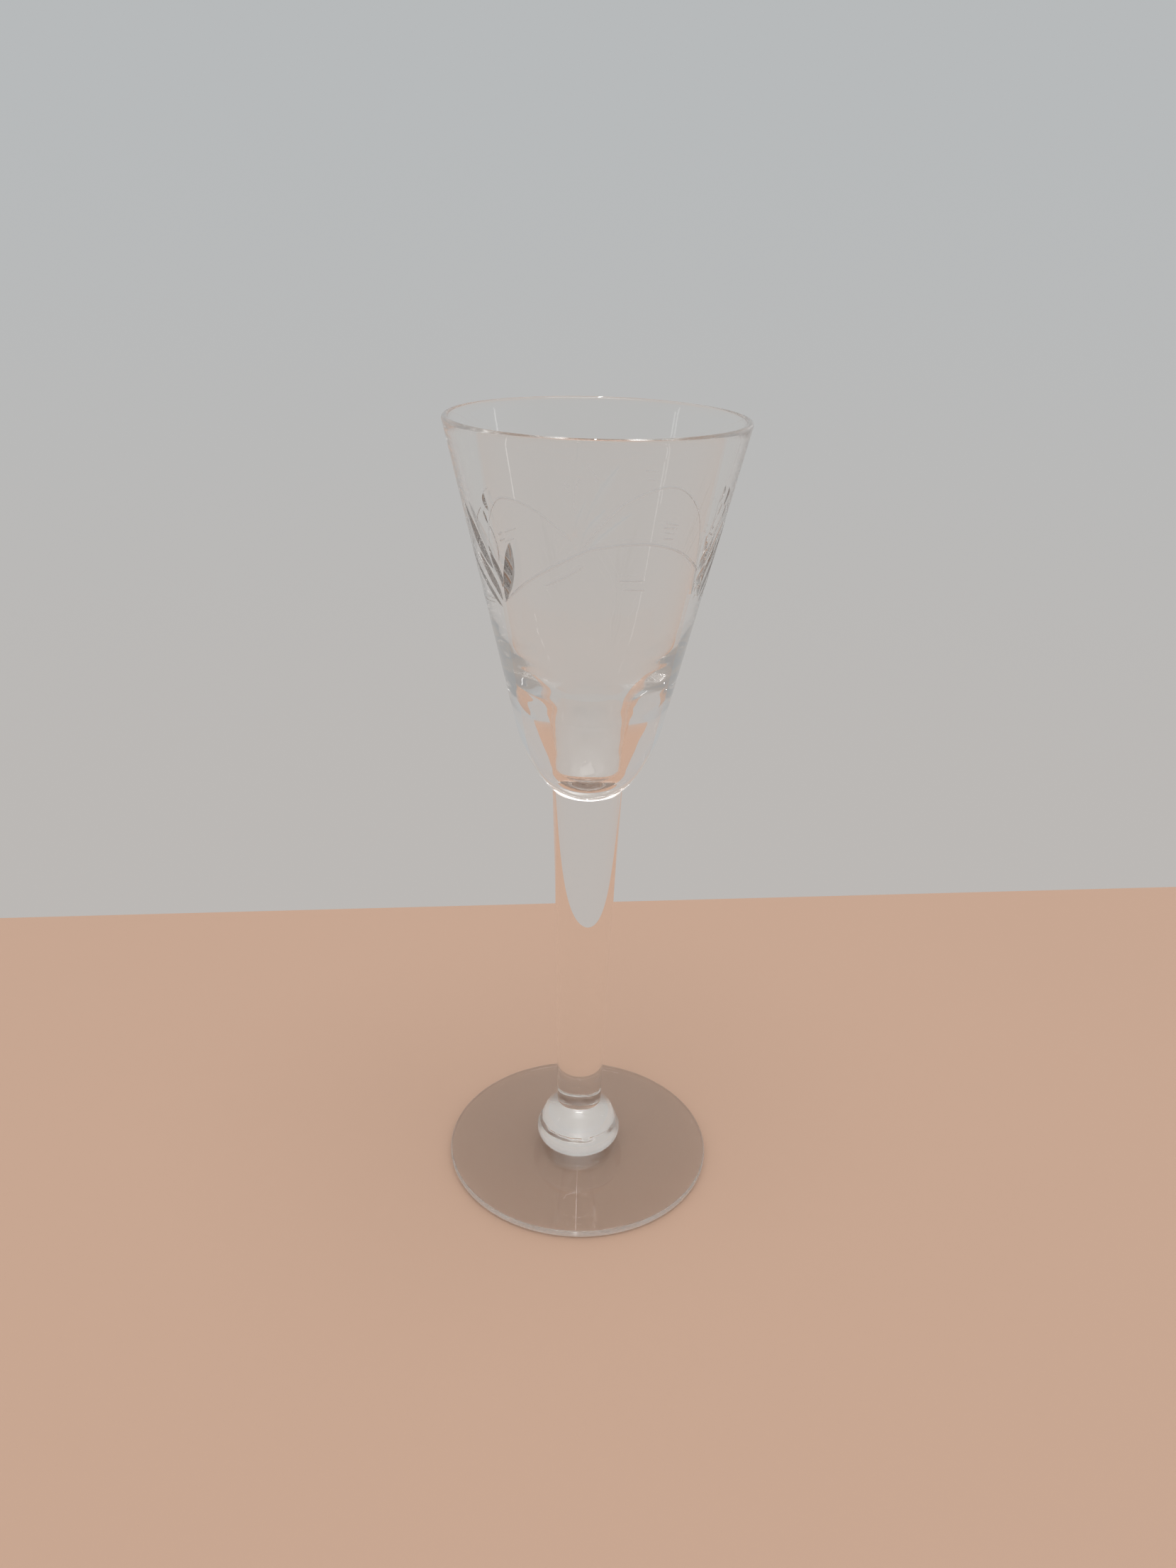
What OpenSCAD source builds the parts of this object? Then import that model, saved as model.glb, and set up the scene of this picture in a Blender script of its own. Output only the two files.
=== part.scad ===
// Cordial glass, in millimetres: +Z up, turned about the Z axis, standing on Z = 0.
// A conical bowl with a thick base and a narrow well, on a solid drawn stem, a ball knop,
// a collar and a thin foot. Each is one gather of glass, joined hot to the next one, so
// neighbours meet on a flat face and share its diameter.

/* [Foot] */
// Diameter of the foot
foot_d = 53.6; // [46:0.2:62]
// Thickness of the foot at its rounded edge
foot_edge = 1.5; // [1:0.1:2.2]
// Height of the foot where the collar stands on it
foot_h = 3.4; // [2.8:0.1:5]
// Width of the flat ring that touches the table
foot_rest_w = 1.8; // [1:0.1:3]
// Height of the hollow under the middle of the foot
foot_hollow = 0.9; // [0.5:0.1:1.2]

/* [Collar] */
// Diameter of the creases above and below the collar
crease_d = 15.3; // [13:0.1:18]
// How far the collar swells out past its creases
collar_swell = 0.9; // [0.4:0.05:1.8]
// Height of the collar
collar_h = 4.2; // [3.8:0.1:6]

/* [Knop] */
// Height of the knop above the collar
knop_h = 5.1; // [4:0.1:6]

/* [Stem] */
// Height of the stem
stem_h = 70.9; // [40:0.5:110]
// Diameter of the stem where it joins the knop
stem_low_d = 9; // [7:0.1:11]
// Diameter of the stem where it joins the bowl
stem_top_d = 13; // [10:0.1:15]
// How far the side of the stem draws in half-way up
stem_waist = 0.25; // [0.1:0.05:0.6]

/* [Bowl] */
// Diameter of the rim
rim_d = 50.8; // [46:0.2:58]
// Height of the bowl above the stem
bowl_h = 66.4; // [58:0.2:80]
// Lean of the bowl's side from upright, in degrees
side_lean = 12.9; // [12:0.1:14]
// Radius of the round under the bowl
under_r = 25; // [20:0.5:35]
// Thickness of the lip, which is fully rounded
lip_t = 1.1; // [0.8:0.05:1.4]
// Thickness of the side at the shoulder
side_t = 2; // [1.4:0.1:2.6]

/* [Well] */
// Height of the shoulder above the stem
shoulder_h = 34; // [30:0.5:38]
// Lean of the well's side from upright where its floor begins, in degrees
well_lean = 15.6; // [12:0.2:19]
// Diameter of the well where its floor begins
well_low_d = 11.7; // [9.6:0.1:13]
// Height of the round floor of the well
well_floor_h = 3.9; // [3:0.1:4.6]
// Thickness of the glass under the well
base_t = 2.7; // [1.6:0.1:4]

/* [Hidden] */
$fn = 120;

// Steps in each arc or curve of an outline
arc_steps = 20;
// How far the curve of the inside follows the well, then the side, as shares of its height
roll_shares = [0.55, 0.49];

// Heights of the faces where one gather is joined to the next
collar_z = foot_h;
knop_z = collar_z + collar_h;
stem_z = knop_z + knop_h;
bowl_z = stem_z + stem_h;

// Points of an arc about the centre c, from the angle a to the angle b
function arc(c, r, a, b) =
    [for (i = [0:arc_steps]) let (t = a + (b - a) * i / arc_steps) c + r * [cos(t), sin(t)]];

// Points of a cubic curve from p to s, with the handles q and r
function curve(p, q, r, s) =
    [for (i = [0:arc_steps]) let (t = i / arc_steps, u = 1 - t)
        u * u * u * p + 3 * u * u * t * q + 3 * u * t * t * r + t * t * t * s];

// Radius of the arc that rises by sag over half its chord
function sag_radius(half, sag) = (half * half + sag * sag) / (2 * sag);

// Angle of the direction v
function heading(v) = atan2(v.y, v.x);

// Direction of v, with a length of 1
function unit(v) = v / norm(v);

// Foot: a thin disc with a rounded edge. Its top is flat at the edge and sweeps up to the
// collar, and it rests on a narrow flat ring round a shallow hollow.
module foot() {
    edge_r = foot_edge / 2;
    edge_c = [foot_d / 2 - edge_r, edge_r];
    rest_in = edge_c.x - foot_rest_w;
    hollow_r = sag_radius(rest_in, foot_hollow);
    hollow_c = [0, foot_hollow - hollow_r];
    sweep = [edge_c.x - crease_d / 2, foot_h - foot_edge];
    top_r = sag_radius(sweep.x, sweep.y);
    top_c = [edge_c.x, foot_edge + top_r];
    color("lightgray") rotate_extrude() polygon(concat(
        arc(hollow_c, hollow_r, 90, heading([rest_in, 0] - hollow_c)),
        arc(edge_c, edge_r, -90, 90),
        arc(top_c, top_r, -90, heading([crease_d / 2, foot_h] - top_c)),
        [[0, foot_h]]
    ));
}

// Collar: a squeezed ring of glass that spreads the knop onto the foot.
module collar() {
    side_r = sag_radius(collar_h / 2, collar_swell);
    side_c = [crease_d / 2 + collar_swell - side_r, collar_h / 2];
    spread = heading([crease_d / 2, collar_h] - side_c);
    color("gainsboro") translate([0, 0, collar_z]) rotate_extrude() polygon(concat(
        [[0, 0]],
        arc(side_c, side_r, -spread, spread),
        [[0, collar_h]]
    ));
}

// Knop: the upper part of a ball whose middle lies inside the collar. It is as wide as the
// crease below and as the stem above.
module knop() {
    low = [crease_d / 2, 0];
    top = [stem_low_d / 2, knop_h];
    ball_c = [0, (top * top - low * low) / (2 * knop_h)];
    ball_r = norm(low - ball_c);
    color("silver") translate([0, 0, knop_z]) rotate_extrude() polygon(concat(
        [[0, 0]],
        arc(ball_c, ball_r, heading(low - ball_c), heading(top - ball_c)),
        [[0, knop_h]]
    ));
}

// Stem: a solid rod drawn out of the glass under the bowl, so that it tapers downwards and
// its side is drawn in a little half-way up.
module stem() {
    low = [stem_low_d / 2, 0];
    top = [stem_top_d / 2, stem_h];
    half_side = norm(top - low) / 2;
    side_r = sag_radius(half_side, stem_waist);
    inward = heading(top - low) + 90;
    side_c = (low + top) / 2 - (side_r - stem_waist) * [cos(inward), sin(inward)];
    spread = asin(half_side / side_r);
    color("lightgray") translate([0, 0, stem_z]) rotate_extrude() polygon(concat(
        [[0, 0]],
        arc(side_c, side_r, inward + spread, inward - spread),
        [[0, stem_h]]
    ));
}

// Bowl: a cone of thin glass over a thick base. Outside, the side runs down at its lean into
// the round that ends on the stem. Inside, the side reaches the shoulder, where one long
// curve draws in over the base and straightens again into a narrow well with a round floor.
module bowl() {
    lip_r = lip_t / 2;
    lip_c = [rim_d / 2 - lip_r, bowl_h - lip_r];
    lip_out = lip_c + lip_r * [cos(side_lean), -sin(side_lean)];

    // The centre of the round lies under_r inside the side, and as far from the stem's edge
    down = [-sin(side_lean), -cos(side_lean)];
    inward = [-cos(side_lean), sin(side_lean)];
    stem_edge = [stem_top_d / 2, 0];
    reach = lip_out + under_r * inward - stem_edge;
    side_l = -reach * down - sqrt(pow(reach * down, 2) - reach * reach + under_r * under_r);
    under_c = stem_edge + reach + side_l * down;

    // The inner side is the line from the shoulder that touches the round of the lip
    shoulder = [lip_out.x - (lip_out.y - shoulder_h) * tan(side_lean) - side_t, shoulder_h];
    lip_in = heading(shoulder - lip_c) - acos(lip_r / norm(shoulder - lip_c));
    side_up = unit(lip_c + lip_r * [cos(lip_in), sin(lip_in)] - shoulder);

    well_low = [well_low_d / 2, base_t + well_floor_h];
    well_up = [sin(well_lean), cos(well_lean)];
    roll_h = shoulder_h - well_low.y;
    floor_r = sag_radius(well_low.x, well_floor_h);
    floor_c = [0, base_t + floor_r];

    color("whitesmoke") translate([0, 0, bowl_z]) rotate_extrude() polygon(concat(
        arc(floor_c, floor_r, -90, heading(well_low - floor_c)),
        curve(
            well_low,
            well_low + roll_shares[0] * roll_h * well_up,
            shoulder - roll_shares[1] * roll_h * side_up,
            shoulder
        ),
        arc(lip_c, lip_r, 360 + lip_in, 90),
        arc(lip_c, lip_r, 90, -side_lean),
        arc(under_c, under_r, -side_lean, heading(stem_edge - under_c)),
        [[0, 0]]
    ));
}

foot();
collar();
knop();
stem();
bowl();
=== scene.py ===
import math
import bmesh
import bpy
from mathutils import Matrix, Vector, noise


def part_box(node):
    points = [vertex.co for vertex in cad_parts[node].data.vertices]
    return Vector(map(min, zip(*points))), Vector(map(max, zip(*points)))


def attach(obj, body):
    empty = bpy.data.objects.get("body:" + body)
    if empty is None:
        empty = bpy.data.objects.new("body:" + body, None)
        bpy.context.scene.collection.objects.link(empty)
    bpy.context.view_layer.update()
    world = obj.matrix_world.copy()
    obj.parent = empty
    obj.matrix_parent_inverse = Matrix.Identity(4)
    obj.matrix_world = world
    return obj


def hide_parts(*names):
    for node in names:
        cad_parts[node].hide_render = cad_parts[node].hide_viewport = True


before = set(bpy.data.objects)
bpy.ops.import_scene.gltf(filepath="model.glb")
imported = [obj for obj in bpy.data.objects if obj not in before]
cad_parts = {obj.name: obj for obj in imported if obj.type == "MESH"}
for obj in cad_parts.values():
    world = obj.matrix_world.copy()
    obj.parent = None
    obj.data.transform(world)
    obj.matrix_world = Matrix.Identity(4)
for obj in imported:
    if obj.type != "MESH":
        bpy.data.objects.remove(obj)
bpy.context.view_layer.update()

# Foot: a thin disc of clear glass, spun out flat from one hot gather. It stands on a narrow ring
# round a slight hollow, scratched dull by years of tables. The collar was pressed onto it half
# cooled, so a film of air is caught between the two.
mm = 0.001
turns = 256
foot_d = 53.6 * mm
foot_edge = 1.5 * mm
foot_rest_w = 1.8 * mm
foot_hollow = 0.9 * mm
crease_d = 15.3 * mm
air_film = 0.02 * mm
rub_in, rub_out = 23.4 * mm, 24.2 * mm
rub_low, rub_high = 0.02 * mm, 0.2 * mm
collar_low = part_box("foot")[1].z
foot_top = collar_low - air_film
glass_ior = 1.52
same_spot, same_level = 0.0001 * mm, 0.001 * mm


def start_at(outline, x, z):
    """The first corner of an outline, drawn in the XZ plane to the right of the glass's axis."""
    return outline.verts.new((x, 0, z))


def draw_to(outline, corner, x, z, steps=1):
    """A straight line from a corner to a new corner, in that many steps."""
    here = corner.co.copy()
    for step in range(1, steps + 1):
        corner = bmesh.ops.extrude_vert_indiv(outline, verts=[corner])["verts"][0]
        corner.co = here.lerp(Vector((x, 0, z)), step / steps)
    return corner


def swing_to(outline, corner, centre, x, z, steps):
    """An arc about a centre from a corner to a new corner, the shorter way round."""
    here, there = corner.co - Vector(centre), Vector((x, 0, z)) - Vector(centre)
    sweep = math.atan2(there.z, there.x) - math.atan2(here.z, here.x)
    sweep = (sweep + math.pi) % (2 * math.pi) - math.pi
    swung = bmesh.ops.spin(
        outline, geom=[corner], cent=centre, axis=(0, -1, 0), angle=sweep, steps=steps
    )
    tip = [part for part in swung["geom_last"] if isinstance(part, bmesh.types.BMVert)][0]
    tip.co = (x, 0, z)
    return tip


def sag_radius(half, sag):
    """Radius of the arc that rises by sag over half its chord."""
    return (half * half + sag * sag) / (2 * sag)


def turn_glass(outline):
    """Turns an outline once round the glass's axis into a closed, smooth solid."""
    bmesh.ops.spin(
        outline,
        geom=outline.verts[:] + outline.edges[:],
        cent=(0, 0, 0),
        axis=(0, 0, 1),
        angle=2 * math.pi,
        steps=turns,
        use_merge=True,
    )
    bmesh.ops.remove_doubles(outline, verts=outline.verts[:], dist=same_spot)
    bmesh.ops.recalc_face_normals(outline, faces=outline.faces[:])
    for face in outline.faces:
        face.smooth = True


def keep_piece(name, outline, flats, finishes):
    """Makes the turned solid a piece of the glass. flats gives the heights of the flat faces
    that have another finish than the first one, and which one."""
    for face in outline.faces:
        for level, finish in flats.items():
            if all(abs(vert.co.z - level) < same_level for vert in face.verts):
                face.material_index = finish
    for edge in outline.edges:
        edge.smooth = len({face.material_index for face in edge.link_faces}) == 1
    mesh = bpy.data.meshes.new(name)
    outline.to_mesh(mesh)
    outline.free()
    piece = bpy.data.objects.new(name, mesh)
    bpy.context.scene.collection.objects.link(piece)
    for finish in finishes:
        mesh.materials.append(finish)
    return piece


class Tone:
    """A socket of a finish's nodes. Arithmetic with it adds Math nodes, and node adds the rest."""

    def __init__(self, tree, socket=None):
        self.tree, self.socket = tree, socket

    def node(self, kind, settings=None, sockets=None, out=0):
        """Adds a node, gives it its settings, fills its sockets and returns one output."""
        made = self.tree.nodes.new("ShaderNode" + kind)
        for name, value in (settings or {}).items():
            setattr(made, name, value)
        for name, value in (sockets or {}).items():
            if isinstance(value, Tone):
                self.tree.links.new(value.socket, made.inputs[name])
            else:
                made.inputs[name].default_value = value
        return Tone(self.tree, made.outputs[out] if made.outputs else None)

    def maths(self, operation, *parts):
        """Adds a Math node that works on the parts."""
        return self.node("Math", {"operation": operation}, dict(enumerate(parts)))

    def __add__(self, other):
        return self.maths("ADD", self, other)

    def __radd__(self, other):
        return self.maths("ADD", other, self)

    def __rsub__(self, other):
        return self.maths("SUBTRACT", other, self)

    def __mul__(self, other):
        return self.maths("MULTIPLY", self, other)

    def stretched(self, x, y, z):
        """This vector with its axes scaled."""
        return self.node("VectorMath", {"operation": "MULTIPLY"}, {0: self, 1: (x, y, z)})

    def speckle(self, size, detail=2, roughness=0.5):
        """Noise from 0 to 1 whose grains are about size across."""
        return self.node(
            "TexNoise",
            sockets={
                "Vector": self,
                "Scale": 0.5 / size,
                "Detail": detail,
                "Roughness": roughness,
            },
        )

    def rise(self, low, high):
        """0 below low, 1 above high, and a soft slope between them."""
        return self.node(
            "MapRange",
            {"interpolation_type": "SMOOTHSTEP"},
            {"Value": self, "From Min": low, "From Max": high},
        )

    def blend(self, first, second):
        """A colour that goes from the first to the second one as this value goes from 0 to 1.
        Sockets 6 and 7 of the Mix node are its colours, and output 2 is the mixed one."""
        return self.node("Mix", {"data_type": "RGBA"}, {0: self, 6: first, 7: second}, out=2)


def new_finish(name):
    """An empty finish and the place of each point of the piece in it."""
    finish = bpy.data.materials.new(name)
    finish.use_nodes = True
    finish.node_tree.nodes.clear()
    return finish, Tone(finish.node_tree).node("TexCoord", out="Object")


def from_axis(place):
    """Distance of each point from the glass's axis."""
    level = place.stretched(1, 1, 0)
    return level.node("VectorMath", {"operation": "LENGTH"}, {0: level}, out="Value")


def height(place):
    """Height of each point above the table."""
    return place.node("SeparateXYZ", sockets={"Vector": place}, out="Z")


def clear_glass(place, pale, deep, share, haze, waves, wave_depth):
    """Solid clear glass: a tint that drifts from pale to deep by share, the haze of its skin,
    and the slow waves that fire-polishing leaves in it."""
    tint = share.blend(pale, deep)
    skin = place.node("Bump", sockets={"Strength": 1, "Distance": wave_depth, "Height": waves})
    glass = place.node(
        "BsdfPrincipled",
        sockets={
            "Base Color": tint,
            "Roughness": haze,
            "IOR": glass_ior,
            "Transmission Weight": 1,
            "Normal": skin,
        },
    )
    place.node("OutputMaterial", sockets={"Surface": glass})


pale_tint = (0.994, 0.991, 0.987, 1)
deep_tint = (0.984, 0.98, 0.972, 1)

# Where two gathers were melted together there is no face to see
hot_joint, place = new_finish("hot_joint")
place.node(
    "OutputMaterial",
    sockets={"Surface": place.node("BsdfPrincipled", sockets={"Alpha": 0, "Roughness": 1})},
)

foot_glass, place = new_finish("foot_glass")
rubbed = from_axis(place).rise(rub_in, rub_out) * (1 - height(place).rise(rub_low, rub_high))
scratches = place.stretched(1, 1, 6).speckle(0.25 * mm, 4, 0.7).rise(0.4, 0.6)
smears = place.speckle(9 * mm).rise(0.5, 0.75)
clear_glass(
    place,
    pale_tint,
    deep_tint,
    share=place.speckle(14 * mm),
    haze=rubbed * scratches * 0.1 + smears * 0.012,
    waves=place.speckle(11 * mm, 1),
    wave_depth=0.012 * mm,
)

outline = bmesh.new()
edge_r = foot_edge / 2
edge_x = foot_d / 2 - edge_r
rest_in = edge_x - foot_rest_w
hollow_r = sag_radius(rest_in, foot_hollow)
corner = start_at(outline, 0, foot_hollow)
corner = swing_to(outline, corner, (0, 0, foot_hollow - hollow_r), rest_in, 0, steps=28)
corner = draw_to(outline, corner, edge_x, 0, steps=2)
corner = swing_to(outline, corner, (edge_x, 0, edge_r), edge_x + edge_r, edge_r, steps=8)
corner = swing_to(outline, corner, (edge_x, 0, edge_r), edge_x, foot_edge, steps=8)
sweep_r = sag_radius(edge_x - crease_d / 2, foot_top - foot_edge)
sweep_c = (edge_x, 0, foot_edge + sweep_r)
corner = swing_to(outline, corner, sweep_c, crease_d / 2, foot_top, steps=28)
draw_to(outline, corner, 0, foot_top, steps=3)
turn_glass(outline)
foot = keep_piece("glass_foot", outline, {}, [foot_glass])
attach(foot, "root")
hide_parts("foot")

# Collar: a ring of glass squeezed flat between the knop and the foot while all three were
# soft, so it swells out between a crease above and a crease below.
collar_swell = 0.9 * mm
seam_depth = 0.3 * mm
seam_drift = 0.7 * mm
seam_reach = 0.5 * mm
seam_core = 5 * mm
wander_waves, wander_slice = 1.7, 4.2
bite_waves, bite_slice, bite_share = 4.1, 9.6, 1.2
collar_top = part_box("collar")[1].z


def wobble(around, waves, level):
    """Soft noise from about -1 to 1 that meets itself again once round the glass."""
    return noise.noise(Vector((around.x * waves, around.y * waves, level)))


def pinch_seam(piece):
    """Draws the glass in along the uneven seam where the knop was sunk in the collar, all but
    the core of the joint."""
    for vert in piece.data.vertices:
        off = (vert.co.z - collar_top) / seam_reach
        out = Vector((vert.co.x, vert.co.y, 0))
        if abs(off) < 1 and out.length > seam_core:
            around = out.normalized()
            share = (1 - off * off) ** 2
            wander = wobble(around, wander_waves, wander_slice)
            bite = wobble(around, bite_waves, bite_slice)
            vert.co -= around * share * seam_depth * (1 + bite_share * bite)
            vert.co.z += share * seam_drift * wander


collar_glass, place = new_finish("collar_glass")
clear_glass(
    place,
    pale_tint,
    deep_tint,
    share=place.speckle(6 * mm),
    haze=place.speckle(3 * mm).rise(0.55, 0.8) * 0.02,
    waves=place.stretched(1, 1, 1.6).speckle(3.5 * mm, 2),
    wave_depth=0.03 * mm,
)
pressed_face, place = new_finish("pressed_face")
clear_glass(
    place,
    pale_tint,
    deep_tint,
    share=place.speckle(3 * mm),
    haze=0.16 + place.speckle(1.5 * mm) * 0.14,
    waves=place.speckle(4 * mm, 1),
    wave_depth=0.05 * mm,
)

outline = bmesh.new()
half_h = (collar_top - collar_low) / 2
side_r = sag_radius(half_h, collar_swell)
side_c = (crease_d / 2 + collar_swell - side_r, 0, collar_low + half_h)
corner = start_at(outline, 0, collar_low)
corner = draw_to(outline, corner, crease_d / 2, collar_low, steps=3)
corner = swing_to(outline, corner, side_c, crease_d / 2, collar_top, steps=60)
draw_to(outline, corner, 0, collar_top, steps=3)
turn_glass(outline)
finishes = [collar_glass, hot_joint, pressed_face]
collar = keep_piece("glass_collar", outline, {collar_top: 1, collar_low: 2}, finishes)
pinch_seam(collar)
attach(collar, "root")
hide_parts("collar")

# Knop: a ball of glass, sunk to its middle in the collar. It looks silvery because it shows
# the room mirrored in the hollow underside of the foot.
knop_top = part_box("knop")[1].z
stem_low_d = 9 * mm
knop_glass, place = new_finish("knop_glass")
clear_glass(
    place,
    pale_tint,
    deep_tint,
    share=place.speckle(5 * mm),
    haze=place.speckle(2.5 * mm).rise(0.6, 0.85) * 0.02,
    waves=place.stretched(1, 1, 1.5).speckle(4 * mm, 2),
    wave_depth=0.025 * mm,
)

outline = bmesh.new()
knop_h = knop_top - collar_top
ball_z = collar_top + ((stem_low_d / 2) ** 2 + knop_h ** 2 - (crease_d / 2) ** 2) / (2 * knop_h)
corner = start_at(outline, 0, collar_top)
corner = draw_to(outline, corner, crease_d / 2, collar_top, steps=3)
corner = swing_to(outline, corner, (0, 0, ball_z), stem_low_d / 2, knop_top, steps=64)
draw_to(outline, corner, 0, knop_top, steps=2)
turn_glass(outline)
knop = keep_piece("glass_knop", outline, {collar_top: 1, knop_top: 1}, [knop_glass, hot_joint])
pinch_seam(knop)
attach(knop, "root")
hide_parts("knop")

# Stem: a solid rod drawn down out of the hot glass under the bowl. It tapers to the knop, its
# side is drawn in a little half-way, and faint cords run along it from the drawing.
stem_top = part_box("stem")[1].z
stem_top_d = 13 * mm
stem_waist = 0.25 * mm
stem_glass, place = new_finish("stem_glass")
clear_glass(
    place,
    pale_tint,
    deep_tint,
    share=place.stretched(1, 1, 0.12).speckle(3 * mm),
    haze=place.speckle(8 * mm).rise(0.55, 0.8) * 0.012,
    waves=place.stretched(1, 1, 0.06).speckle(2.5 * mm, 2),
    wave_depth=0.006 * mm,
)

outline = bmesh.new()
low, top = Vector((stem_low_d / 2, 0, knop_top)), Vector((stem_top_d / 2, 0, stem_top))
middle, half_side = (low + top) / 2, (top - low).length / 2
side_r = sag_radius(half_side, stem_waist)
outward = Vector((top.z - low.z, 0, low.x - top.x)).normalized()
side_c = middle + (side_r - stem_waist) * outward
corner = draw_to(outline, start_at(outline, 0, knop_top), low.x, low.z, steps=2)
corner = swing_to(outline, corner, side_c, top.x, top.z, steps=48)
draw_to(outline, corner, 0, stem_top, steps=2)
turn_glass(outline)
stem = keep_piece("glass_stem", outline, {knop_top: 1, stem_top: 1}, [stem_glass, hot_joint])
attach(stem, "root")
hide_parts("stem")

# Bowl: blown from one gather, with a thin straight side over a thick base. The lip was cut and
# melted round. Inside, a long curve draws in to a narrow well with a round floor, and the
# blower's tool left that curve uneven where the glass thickens.
rim_d = 50.8 * mm
side_lean = math.radians(12.9)
under_r = 25 * mm
lip_t = 1.1 * mm
side_t = 2 * mm
shoulder_h = 34 * mm
well_lean = math.radians(15.6)
well_low_d = 11.7 * mm
well_floor_h = 3.9 * mm
base_t = 2.7 * mm
roll_shares = (0.55, 0.49)
curve_steps = 60
uneven_from, uneven_over = 90 * mm, 3 * mm
even_from, even_over = 118 * mm, 4 * mm
thick_from, thick_over = 99 * mm, 6 * mm
uneven_low, uneven_high = 0.04 * mm, 0.11 * mm
ripple_waves, ripple_h, ripple_front = 2.6, 2.3 * mm, 0.15
rim_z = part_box("bowl")[1].z
lip_r = lip_t / 2
lip_c = Vector((rim_d / 2 - lip_r, 0, rim_z - lip_r))
lip_out = lip_c + lip_r * Vector((math.cos(side_lean), 0, -math.sin(side_lean)))


def side_x(z):
    """Radius of the bowl's outer side at a height."""
    return lip_out.x - (lip_out.z - z) * math.tan(side_lean)


bowl_glass, place = new_finish("bowl_glass")
clear_glass(
    place,
    pale_tint,
    deep_tint,
    share=place.speckle(20 * mm),
    haze=place.speckle(12 * mm).rise(0.55, 0.8) * 0.01,
    waves=place.stretched(1, 1, 0.35).speckle(9 * mm, 1),
    wave_depth=0.008 * mm,
)

outline = bmesh.new()
uneven = outline.verts.layers.float.new("uneven")
well_low = Vector((well_low_d / 2, 0, stem_top + base_t + well_floor_h))
shoulder = Vector((side_x(stem_top + shoulder_h) - side_t, 0, stem_top + shoulder_h))
roll_h = shoulder.z - well_low.z
to_shoulder = shoulder - lip_c
lip_in = math.atan2(to_shoulder.z, to_shoulder.x) - math.acos(lip_r / to_shoulder.length)
lip_in = lip_c + lip_r * Vector((math.cos(lip_in), 0, math.sin(lip_in)))
side_up = (lip_in - shoulder).normalized()
well_up = Vector((math.sin(well_lean), 0, math.cos(well_lean)))
low_handle = well_low + roll_shares[0] * roll_h * well_up
high_handle = shoulder - roll_shares[1] * roll_h * side_up
floor_r = sag_radius(well_low.x, well_floor_h)
floor_z = well_low.z - well_floor_h
corner = start_at(outline, 0, floor_z)
corner = swing_to(outline, corner, (0, 0, floor_z + floor_r), well_low.x, well_low.z, steps=18)
for step in range(1, curve_steps + 1):
    t = step / curve_steps
    u = 1 - t
    spot = u**3 * well_low + 3 * u * u * t * low_handle + 3 * u * t * t * high_handle
    spot += t**3 * shoulder
    corner = draw_to(outline, corner, spot.x, spot.z)
    rising = min(1, max(0, (spot.z - uneven_from) / uneven_over))
    falling = min(1, max(0, (even_from - spot.z) / even_over))
    thicker = min(1, max(0, (spot.z - thick_from) / thick_over))
    corner[uneven] = (uneven_low + (uneven_high - uneven_low) * thicker) * rising * falling
corner[uneven] = 0
corner = draw_to(outline, corner, lip_in.x, lip_in.z, steps=22)
corner = swing_to(outline, corner, lip_c, lip_c.x, rim_z, steps=8)
corner = swing_to(outline, corner, lip_c, lip_out.x, lip_out.z, steps=10)
stem_edge = Vector((stem_top_d / 2, 0, stem_top))
side_down = Vector((-math.sin(side_lean), 0, -math.cos(side_lean)))
side_inward = Vector((-math.cos(side_lean), 0, math.sin(side_lean)))
reach = lip_out + under_r * side_inward - stem_edge
side_l = -reach.dot(side_down)
side_l -= math.sqrt(side_l**2 - reach.dot(reach) + under_r**2)
under_c = stem_edge + reach + side_l * side_down
under_top = lip_out + side_l * side_down
corner = draw_to(outline, corner, under_top.x, under_top.z, steps=48)
corner = swing_to(outline, corner, under_c, stem_edge.x, stem_edge.z, steps=40)
draw_to(outline, corner, 0, stem_top, steps=3)
turn_glass(outline)
for corner in outline.verts:
    if corner[uneven]:
        around = Vector((corner.co.x, corner.co.y, 0)).normalized()
        ripple = wobble(around, ripple_waves, corner.co.z / ripple_h)
        ripple *= ripple_front + (1 - ripple_front) * around.x**2
        corner.co += around * corner[uneven] * ripple
bowl = keep_piece("glass_bowl", outline, {stem_top: 1}, [bowl_glass, hot_joint])
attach(bowl, "root")
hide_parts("bowl")

# Engraving: three sprays of leaves, cut slanting into the outside of the bowl with small wheels,
# and fine lines that arch from one spray to the next. In two sprays the leaf cuts are tinted dark
# grey, all but one broad leaf. The grey is painted shade standing for the dark room the cut faces
# show, not a colour of the glass. The third spray, at the back, was cut lightly and polished.
leaf_proud, line_proud = 0.05 * mm, 0.03 * mm
overrun, end_lift = 1.02, 0.8
fewest_steps, steps_each = 20, 6
merge_reach = 0.0005 * mm
facet_angle = 0.3
polished, leaf_painted_dark, line_grey = 0, 2, 3
# The leaf cuts' dark grey tint is painted shade: it darkens the cut faces the way the dark room
# they show would, and is no colour of the glass
leaf_cut_painted_shade, place = new_finish("leaf_cut_painted_shade")
clear_glass(
    place,
    (0.47, 0.45, 0.435, 1),
    (0.37, 0.355, 0.345, 1),
    share=place.speckle(0.6 * mm, 3),
    haze=0.08 + place.speckle(0.3 * mm, 3) * 0.08,
    waves=place.speckle(0.8 * mm, 2),
    wave_depth=0.0004 * mm,
)
line_cut, place = new_finish("line_cut")
clear_glass(
    place,
    (0.99, 0.985, 0.98, 1),
    (0.95, 0.945, 0.94, 1),
    share=place.speckle(0.3 * mm, 3),
    haze=0.32 + place.speckle(0.2 * mm, 3) * 0.2,
    waves=place.speckle(0.15 * mm, 3),
    wave_depth=0.004 * mm,
)


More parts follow.
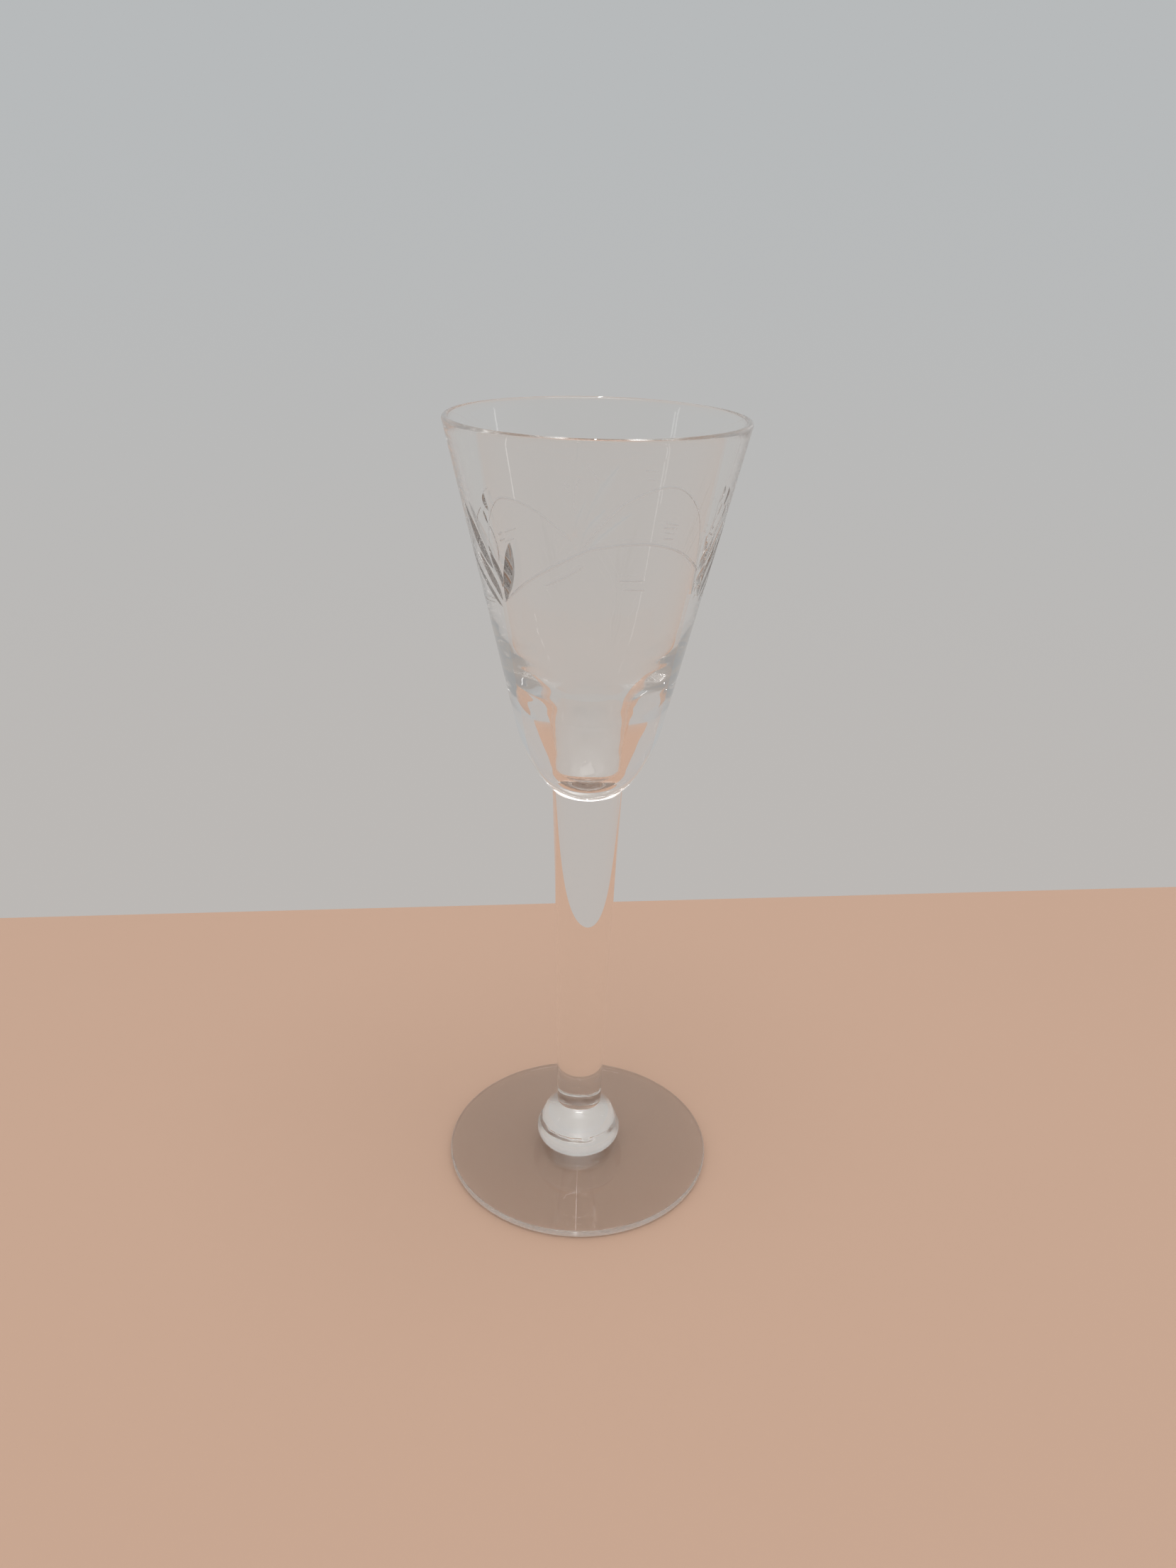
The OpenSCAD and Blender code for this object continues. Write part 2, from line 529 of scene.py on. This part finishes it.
def on_side(azimuth, z, out):
    """The point at an azimuth from the front, a height and a distance outside the bowl's side."""
    radius = side_x(z) + out * math.cos(side_lean)
    turned = math.radians(azimuth)
    level = z - out * math.sin(side_lean)
    return Vector((radius * math.sin(turned), -radius * math.cos(turned), level))


def on_spray(line, azimuth, base_z, facing, size):
    """A line of the spray as azimuths and heights on the bowl."""
    degree = math.radians(1) * side_x(base_z * mm) / mm
    return [(azimuth + facing * size * s / degree, (base_z + size * h) * mm) for s, h in line]


def wheel_stroke(cutter, path, width, depth, finish, blunt, proud, slant=0):
    """Adds what one stroke of the wheel takes out. path holds azimuths and heights, from the
    top down. The stroke is deepest half-way, a blunt one almost up to its ends, and a slanting
    one is deepest near one edge: 1 for the edge on the right, -1 for the one on the left. What
    is taken out starts a little proud of the glass, and lifts clear of it at both ends."""
    steps = max(fewest_steps, steps_each * len(path))
    face = None
    first_face = len(cutter.faces)
    for step in range(steps + 1):
        t = -overrun * math.cos(math.pi * step / steps)
        along = (t + overrun) / (2 * overrun) * (len(path) - 1)
        k = min(int(along), len(path) - 2)
        # A smooth curve: ends holds the two points it now runs between and one on either side
        ends = [Vector(path[max(0, min(len(path) - 1, k + i))]) for i in (-1, 0, 1, 2)]
        swing = 2 * ends[0] - 5 * ends[1] + 4 * ends[2] - ends[3]
        curl = 3 * ends[1] - ends[0] - 3 * ends[2] + ends[3]
        u = along - k
        here = ends[1] + 0.5 * ((ends[2] - ends[0]) * u + swing * u * u + curl * u**3)
        heading = ends[2] - ends[0] + 2 * swing * u + 3 * curl * u * u
        degree = math.radians(1) * side_x(here.y)
        heading = Vector((heading.x * degree, heading.y)).normalized()
        sunk = max(-end_lift * proud, depth * (1 - abs(t) ** blunt))
        half = (sunk + proud) * width / 2 / depth
        right = Vector((-heading.y / degree, heading.x)) * half
        corners = [
            on_side(*(here + slant * right), -sunk),
            on_side(*(here + right), proud),
            on_side(*(here - right), proud),
        ]
        if face is None:
            face = cutter.faces.new([cutter.verts.new(spot) for spot in corners])
        else:
            grown = bmesh.ops.extrude_face_region(cutter, geom=[face])["geom"]
            if step > 1:
                bmesh.ops.delete(cutter, geom=[face], context="FACES_ONLY")
            face = [part for part in grown if isinstance(part, bmesh.types.BMFace)][0]
            for vert, spot in zip(face.verts, corners):
                vert.co = spot
    for face in cutter.faces[first_face:]:
        face.material_index = finish


def cut_away(cutter):
    """Takes the strokes in cutter, none of which may meet another one, out of the bowl."""
    bmesh.ops.recalc_face_normals(cutter, faces=cutter.faces[:])
    strokes = bpy.data.objects.new("strokes", bpy.data.meshes.new("strokes"))
    cutter.to_mesh(strokes.data)
    cutter.free()
    for glass in (bowl_glass, hot_joint, leaf_cut_painted_shade, line_cut):
        strokes.data.materials.append(glass)
    bpy.context.scene.collection.objects.link(strokes)
    cutting = bowl.modifiers.new("wheel strokes", "BOOLEAN")
    cutting.operation = "DIFFERENCE"
    cutting.solver = "MANIFOLD"
    cutting.object = strokes
    taken_out.append(strokes)


taken_out = []
# Each leaf, in millimetres: points of its middle line, sideways and up from the foot of the
# spray, then its width, depth and slant, and the firmness above which its cut is tinted dark grey
# as painted shade for the dark room the cut face shows
leaves = [
    ([(0.5, 18.5), (0.3, 17.1), (0.9, 15.6)], 0.9, 0.25, 0.85, 0.5),
    ([(-0.4, 15.5), (-0.15, 14.5), (0.1, 13.5)], 0.5, 0.14, 0.85, 0.5),
    (
        [
            (-6.3, 15.6), (-5.5, 13.7), (-4.5, 11.7), (-3.7, 10), (-2.7, 8.3), (-1.7, 6.8),
            (-0.9, 5.7),
        ],
        2.3, 0.62, 0.85, 0.5,
    ),
    ([(-0.9, 9.7), (-0.4, 7.6), (0.2, 6.1), (0.8, 4.5), (0.8, 2.9)], 1.3, 0.38, 0.85, 0.5),
    ([(-4.4, 7.8), (-3.2, 6), (-2, 4.3), (-0.8, 2.6), (0.1, 0.5)], 1.8, 0.5, 0.85, 0.5),
    ([(-9.4, 7.4), (-6.3, 4.6), (-3.6, 2.2), (-1.9, 0.6), (-0.3, -0.8)], 1.2, 0.34, 0.85, 0.5),
    ([(4.1, 11.3), (3.7, 9.4), (3.2, 7), (2.4, 4.5), (1.7, 2.6), (1, 0.5)], 2.3, 0.66, 0.15, 0.9),
]
# Each stem or nick: points of its middle line, and its width. All have the depth line_depth
line_depth = 0.07
stems = [
    ([(0.1, 13.6), (0.8, 12.7), (1.2, 11.4), (1.4, 10.3), (1.4, 8.8), (1.1, 7.3)], 0.32),
    ([(-0.7, 16), (-1.6, 15), (-2.3, 14.1), (-2.7, 13.2)], 0.24),
    ([(2.2, 12.1), (3, 12.7)], 0.34),
    ([(2.2, 11.1), (3.3, 11.7)], 0.34),
]
# Each spray: azimuth and height of its foot, 1 or -1 for the side it faces, size and firmness
sprays = [(-50, 121.5, 1, 1, 1), (67, 122, -1, 1.02, 0.85), (187, 122, 1, 0.98, 0.4)]
# Azimuths and heights on the bowl, of the long arching lines and of the short strokes
festoons = [
    [
        (-49, 121.8), (-42, 123.5), (-28, 127.3), (-5, 132.3), (5, 133.4), (17, 133.8),
        (28, 133.3), (41, 131.4), (56, 127.5), (66, 123.3),
    ],
    [
        (72, 121.6), (85, 121.9), (92, 123.2), (96, 125.2), (101, 127.6), (108, 130.6),
        (117, 133), (130, 134.9), (143, 134.7), (160, 131.9), (169, 129.5), (183, 124.5),
        (187, 122.9),
    ],
    [
        (189, 122.9), (200, 126.3), (213, 129.8), (226, 132.2), (239, 133.1), (252, 130.6),
        (262, 126.8), (271, 122.4), (285, 120.6), (305, 121.2),
    ],
]
fine_lines = [
    [(-22, 126.3), (-11, 128.4), (-4, 130.2)],
    [(28, 136.2), (35, 135.9)],
    [(29, 134.4), (34, 134.2)],
    [(11, 127.8), (23, 127.6)],
    [(14, 126.2), (24, 126)],
    [(148, 137.4), (155, 137.1)],
    [(149, 135.8), (154, 135.6)],
    [(128, 129), (138, 128.8)],
    [(130, 127.4), (138, 127.2)],
    [(246, 135.4), (253, 135.1)],
    [(228, 127.6), (239, 127.4)],
    [(231, 126), (240, 125.8)],
]
bowl.data.materials.append(leaf_cut_painted_shade)
bowl.data.materials.append(line_cut)
# Leaves of the firmer sprays get the dark tint of painted shade, and the rest stay clear
for line, width, depth, slant, painted_dark_from in leaves:
    cutter = bmesh.new()
    for azimuth, base_z, facing, size, firmness in sprays:
        path = on_spray(line, azimuth, base_z, facing, size)
        wheel_stroke(
            cutter,
            path,
            width * size * mm,
            depth * firmness * mm,
            finish=leaf_painted_dark if firmness > painted_dark_from else polished,
            blunt=2,
            proud=leaf_proud,
            slant=slant * facing,
        )
    cut_away(cutter)
for line, width in stems:
    cutter = bmesh.new()
    for azimuth, base_z, facing, size, firmness in sprays:
        path = on_spray(line, azimuth, base_z, facing, size)
        deep = line_depth * firmness * mm
        wheel_stroke(cutter, path, width * mm, deep, line_grey, blunt=6, proud=line_proud)
    cut_away(cutter)
for lines, width, depth, blunt in ((festoons, 0.42, line_depth, 14), (fine_lines, 0.3, 0.045, 6)):
    cutter = bmesh.new()
    for line in lines:
        path = [(azimuth, z * mm) for azimuth, z in line]
        wheel_stroke(cutter, path, width * mm, depth * mm, line_grey, blunt, line_proud)
    cut_away(cutter)
graph = bpy.context.evaluated_depsgraph_get()
engraved = bpy.data.meshes.new_from_object(bowl.evaluated_get(graph))
bowl.modifiers.clear()
bowl.data = engraved
for strokes in taken_out:
    bpy.data.objects.remove(strokes)
skin = bmesh.new()
skin.from_mesh(engraved)
bmesh.ops.remove_doubles(skin, verts=skin.verts[:], dist=merge_reach)
for face in skin.faces:
    face.smooth = True
for edge in skin.edges:
    faces = edge.link_faces
    same = len({face.material_index for face in faces}) == 1
    uncut = faces[0].material_index < leaf_painted_dark
    edge.smooth = same and (uncut or edge.calc_face_angle(0) < facet_angle)
skin.to_mesh(engraved)
skin.free()

# Table: the plain pale board that the glass stands on. It ends behind the glass along the foot
# of a plain wall, which the world behind it stands for.
table_tone = (0.578, 0.381, 0.279, 1)
table_drift = 0.985
table_deep = tuple(part * table_drift for part in table_tone[:3]) + (1,)
table_reach, table_front = 1.2, 1.4
clear_of_foot = Vector((0, 0, 0.01 * mm))
wall_left, wall_right = Vector((-0.1613, 0.0861, 0)), Vector((0.1794, 0.1231, 0))
table_finish, place = new_finish("table_board")
shade = place.speckle(30 * mm, 3).blend(table_tone, table_deep)
surface = place.node(
    "BsdfPrincipled",
    sockets={"Base Color": shade, "Roughness": 0.6, "Specular IOR Level": 0.2},
)
place.node("OutputMaterial", sockets={"Surface": surface})
along = (wall_right - wall_left).normalized()
board = bmesh.new()
spots = [
    wall_left - along * table_reach,
    wall_right + along * table_reach,
    Vector((table_reach, -table_front, 0)),
    Vector((-table_reach, -table_front, 0)),
]
board.faces.new([board.verts.new(spot - clear_of_foot) for spot in spots])
bmesh.ops.recalc_face_normals(board, faces=board.faces[:])
if board.faces[:][0].normal.z < 0:
    bmesh.ops.reverse_faces(board, faces=board.faces[:])
table = bpy.data.objects.new("table", bpy.data.meshes.new("table"))
board.to_mesh(table.data)
board.free()
table.data.materials.append(table_finish)
bpy.context.scene.collection.objects.link(table)

# Light: an even pale room. Mirrored inside the glass it is dimmer on the viewer's side and where
# it was mirrored many times. A soft lamp hangs over the table, with small bright ones round it.
wall_low = (0.500, 0.480, 0.463, 1)
wall_high = (0.475, 0.490, 0.497, 1)
ceiling = (0.56, 0.53, 0.50, 1)
dim_side = (0.12, 0.115, 0.11, 1)
room_level = 0.84
near_share, often_share = 0.25, 0.45
often_from, often_to = 3, 7
world = bpy.data.worlds.new("room")
world.use_nodes = True
world.node_tree.nodes.clear()
bpy.context.scene.world = world
room = Tone(world.node_tree)
look = room.node("TexCoord", out="Generated")
away, up = (room.node("SeparateXYZ", sockets={"Vector": look}, out=axis) for axis in "YZ")
camera_ray, glossy_ray, clear_ray, diffuse_depth, glossy_depth = (
    room.node("LightPath", out=kind)
    for kind in (
        "Is Camera Ray",
        "Is Glossy Ray",
        "Is Transmission Ray",
        "Diffuse Depth",
        "Glossy Depth",
    )
)
wall = up.rise(-0.45, 0.12).blend(wall_low, wall_high)
wall = up.rise(0.15, 0.4).blend(wall, ceiling)
near = (1 - away.rise(-0.75, 0)) * glossy_depth.rise(0, 1) * (1 - up.rise(0.35, 0.7))
often = glossy_depth.rise(often_from, often_to) * (1 - up.rise(0.6, 0.9))
dim = room.maths("MAXIMUM", near * near_share, often * often_share)
wall = dim.blend(wall, dim_side)
# An even white room lights the table, and the coloured one is what is seen
seen = room.maths("MAXIMUM", glossy_ray, clear_ray)
seen = room.maths("MAXIMUM", seen, camera_ray)
seen = seen * (1 - room.maths("MINIMUM", diffuse_depth, 1))
shown = room.node("Background", sockets={"Color": wall, "Strength": 1})
lit = room.node("Background", sockets={"Color": (1, 1, 1, 1), "Strength": room_level})
both = room.node("MixShader", sockets={0: seen, 1: lit, 2: shown})
room.node("OutputWorld", sockets={"Surface": both})


def hang_lamp(name, spot, aim, size, power, lights_table=True):
    """A soft rectangular lamp. One that doesn't light the table only shows mirrored in glass."""
    lamp = bpy.data.lights.new(name, "AREA")
    lamp.shape = "RECTANGLE"
    lamp.size, lamp.size_y = size
    lamp.energy = power
    hung = bpy.data.objects.new(name, lamp)
    hung.location = spot
    hung.rotation_euler = (Vector(aim) - Vector(spot)).to_track_quat("-Z", "Y").to_euler()
    hung.visible_diffuse = lights_table
    hung.visible_camera = False
    if not lights_table:
        lamp.use_nodes = True
        lamp.node_tree.nodes.clear()
        glow = Tone(lamp.node_tree)
        mirrored = glow.maths("MINIMUM", glow.node("LightPath", out="Glossy Depth"), 1)
        glow = glow.node("Emission", sockets={"Strength": mirrored})
        glow.node("OutputLight", sockets={"Surface": glow})
    bpy.context.scene.collection.objects.link(hung)


hang_lamp("ceiling_lamp", (0.05, -0.1, 1.1), (0, 0, 0.05), size=(0.7, 0.5), power=2.4)
for name, spot, aim, size, power in (
    ("tube_lamp", (-0.005, 0.75, 1.2), (-0.005, 0.75, 0), (0.008, 0.9), 2.2),
    ("panel_lamp", (0, -0.5, 1), (0, 0, 0.1), (0.45, 0.02), 0.3),
    ("right_lamp", (1.18, 0.04, 0.345), (0, 0, 0.135), (0.03, 0.1), 0.025),
    ("left_lamp", (-1.09, -0.42, 0.4), (0, 0, 0.135), (0.03, 0.25), 0.04),
):
    hang_lamp(name, spot, aim, size, power, lights_table=False)

# Camera: a phone held upright close to the glass, a little above the rim, and tilted down.
# Its focal length is given in dots of a picture that is picture_h dots high.
phone_spot = Vector((0.09, -208.35, 177.6)) * mm
pitch, roll = math.radians(24.17), math.radians(1.57)
film_h, focal, picture_h = 36, 1743, 2212
phone = bpy.data.cameras.new("phone")
phone.sensor_width = film_h
phone.lens = film_h * focal / picture_h
phone.clip_start = 5 * mm
camera = bpy.data.objects.new("phone", phone)
camera.matrix_world = (
    Matrix.Translation(phone_spot)
    @ Matrix.Rotation(math.pi / 2 - pitch, 4, "X")
    @ Matrix.Rotation(roll, 4, "Z")
)
bpy.context.scene.collection.objects.link(camera)
scene = bpy.context.scene
scene.camera = camera
scene.view_settings.view_transform = "Standard"
most_bounces = 256
scene.cycles.max_bounces = most_bounces
scene.cycles.glossy_bounces = most_bounces
scene.cycles.transmission_bounces = most_bounces
scene.cycles.transparent_max_bounces = 64
